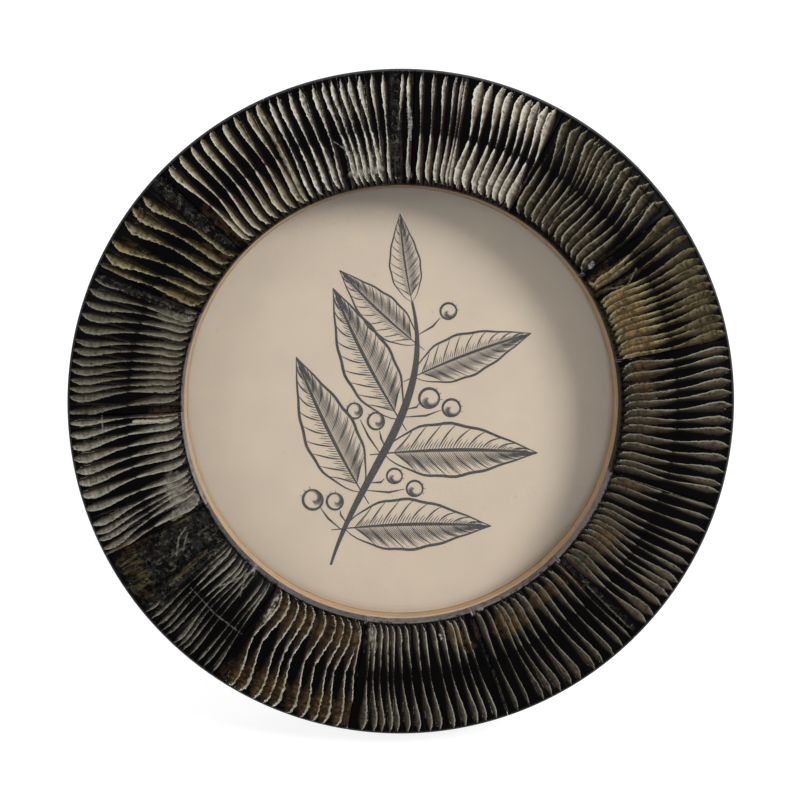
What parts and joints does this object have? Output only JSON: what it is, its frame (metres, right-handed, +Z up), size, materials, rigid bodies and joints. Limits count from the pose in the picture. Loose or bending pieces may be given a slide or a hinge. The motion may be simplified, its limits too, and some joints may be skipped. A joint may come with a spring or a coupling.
{
  "type": "round photo frame",
  "caption": "Round table-top photo frame: carved horn plates on a wood ring, glazed, with a velvet back held by turn buttons and a hinged leg that folds flat.",
  "frame": {"origin": "on the table, under the middle of the frame's box", "axes": "+X to the viewer's right, the front faces -Y, +Z up"},
  "size_m": [0.0888, 0.039, 0.0887],
  "materials": {
    "carved_horn": "black buffalo horn, polished between dull grey-brown file grooves",
    "ring_wood": "turned wood, bare tan at the lip and stained black outside",
    "clear_glass": "clear float glass",
    "print_paper": "aged beige paper with a plain leaf engraving",
    "card": "grey-brown filler card",
    "fibreboard": "fine brown fibreboard",
    "velvet": "black cotton velvet",
    "brass": "stamped brass, lightly worn",
    "steel": "plain steel wire pin"
  },
  "bodies": {
    "frame": {"frame_core": "ring_wood", "horn_segment_01": "carved_horn", "horn_segment_02": "carved_horn", "horn_segment_03": "carved_horn", "horn_segment_04": "carved_horn", "horn_segment_05": "carved_horn", "horn_segment_06": "carved_horn", "horn_segment_07": "carved_horn", "horn_segment_08": "carved_horn", "horn_segment_09": "carved_horn", "horn_segment_10": "carved_horn", "horn_segment_11": "carved_horn", "horn_segment_12": "carved_horn", "horn_segment_13": "carved_horn", "horn_segment_14": "carved_horn", "glass_disc": "clear_glass", "photo_insert": "print_paper", "filler_card": "card", "back_board": "fibreboard", "back_cover": "velvet", "turn_button_screws": "brass", "hinge_plate": "brass", "hinge_pin": "steel", "plate_rivets": "brass"},
    "leg": {"leg_bracket": "brass", "bracket_rivets": "brass", "easel_leg": "fibreboard", "leg_cover": "velvet"},
    "button_1": {"turn_button_1": "brass"},
    "button_2": {"turn_button_2": "brass"},
    "button_3": {"turn_button_3": "brass"},
    "button_4": {"turn_button_4": "brass"}
  },
  "joints": [
    {"name": "leg_fold", "type": "hinge", "parent": "frame", "child": "leg", "pos_m": [0, 0.00914, 0.0554], "axis": [-1, 0, 0], "range_deg": [0, 25]},
    {"name": "button_1_turn", "type": "hinge", "parent": "frame", "child": "button_1", "pos_m": [0.02706, 0.01078, 0.06849], "axis": [0, 0.9659, -0.2588], "continuous": true},
    {"name": "button_2_turn", "type": "hinge", "parent": "frame", "child": "button_2", "pos_m": [0.02706, -0.00323, 0.0162], "axis": [0, 0.9659, -0.2588], "continuous": true},
    {"name": "button_3_turn", "type": "hinge", "parent": "frame", "child": "button_3", "pos_m": [-0.02706, -0.00323, 0.0162], "axis": [0, 0.9659, -0.2588], "continuous": true},
    {"name": "button_4_turn", "type": "hinge", "parent": "frame", "child": "button_4", "pos_m": [-0.02706, 0.01078, 0.06849], "axis": [0, 0.9659, -0.2588], "continuous": true}
  ]
}
